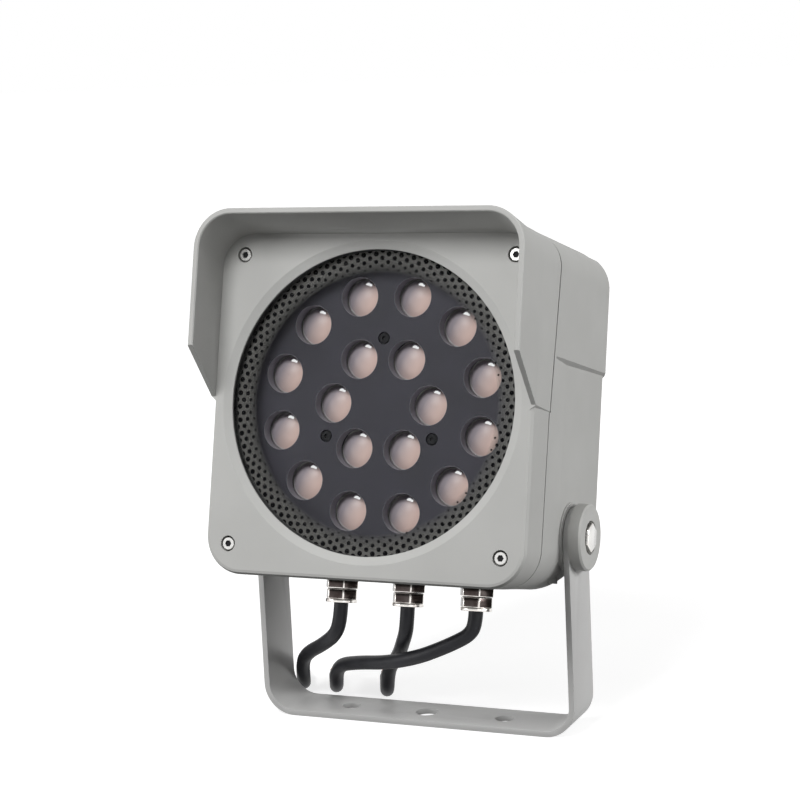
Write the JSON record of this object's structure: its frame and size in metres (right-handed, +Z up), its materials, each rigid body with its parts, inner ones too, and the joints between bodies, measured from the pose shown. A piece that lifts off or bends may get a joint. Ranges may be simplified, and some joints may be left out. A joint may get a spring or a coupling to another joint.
{
  "type": "led flood light",
  "caption": "Square cast flood light with a hooded front, collimator lenses behind round glass, rear cooling fins, cable glands below and a tilting U bracket.",
  "frame": {"origin": "centre of the middle hole on the underside of the bracket's base", "axes": "+Z up from the surface that the bracket is fixed to, +X along the tilt axis to the right as seen from in front, the lit face looks towards -Y"},
  "size_m": [0.2637, 0.2041, 0.3647],
  "materials": {
    "casting": "satin",
    "bracket_paint": "satin",
    "front_glass": "gloss",
    "rubber_seal": "matte",
    "cable": "satin",
    "dark_plate": "satin",
    "lens": "gloss",
    "board": "matte",
    "inner_aluminium": "satin",
    "inner_steel": "satin",
    "dark_steel": "satin",
    "steel": "satin",
    "plated_brass": "gloss",
    "washer": "matte",
    "driver_case": "matte",
    "terminal_plastic": "matte"
  },
  "bodies": {
    "bracket_body": {"bracket": "bracket_paint", "cord_left": "cable", "cord_middle": "cable", "cord_right": "cable"},
    "head": {"front_frame": "casting", "rear_housing": "casting", "housing_gasket": "rubber_seal", "glass": "front_glass", "glass_gasket": "rubber_seal", "glass_ring": "inner_steel", "glass_ring_screws": "inner_steel", "lens_plate": "dark_plate", "led_board": "board", "plate_screws": "dark_steel", "corner_screws": "steel", "board_carrier": "inner_aluminium", "carrier_screws": "inner_steel", "driver": "driver_case", "driver_screws": "inner_steel", "terminal_block": "terminal_plastic", "gland_locknuts": "plated_brass", "pivot_disc_left": "casting", "pivot_disc_right": "casting", "pivot_bolts": "steel", "friction_washer_left": "washer", "friction_washer_right": "washer", "gland_body_left": "plated_brass", "gland_nut_left": "plated_brass", "gland_seal_left": "rubber_seal", "gland_body_middle": "plated_brass", "gland_nut_middle": "plated_brass", "gland_seal_middle": "rubber_seal", "gland_body_right": "plated_brass", "gland_nut_right": "plated_brass", "gland_seal_right": "rubber_seal", "lens_01": "lens", "lens_02": "lens", "lens_03": "lens", "lens_04": "lens", "lens_05": "lens", "lens_06": "lens", "lens_07": "lens", "lens_08": "lens", "lens_09": "lens", "lens_10": "lens", "lens_11": "lens", "lens_12": "lens", "lens_13": "lens", "lens_14": "lens", "lens_15": "lens", "lens_16": "lens", "lens_17": "lens", "lens_18": "lens"}
  },
  "joints": [
    {"name": "head_tilt", "type": "hinge", "parent": "bracket_body", "child": "head", "pos_m": [0, 0, 0.135], "axis": [1, 0, 0], "range_deg": [-75.3, 59.7], "deforming": ["cord_left", "cord_middle", "cord_right"]}
  ]
}
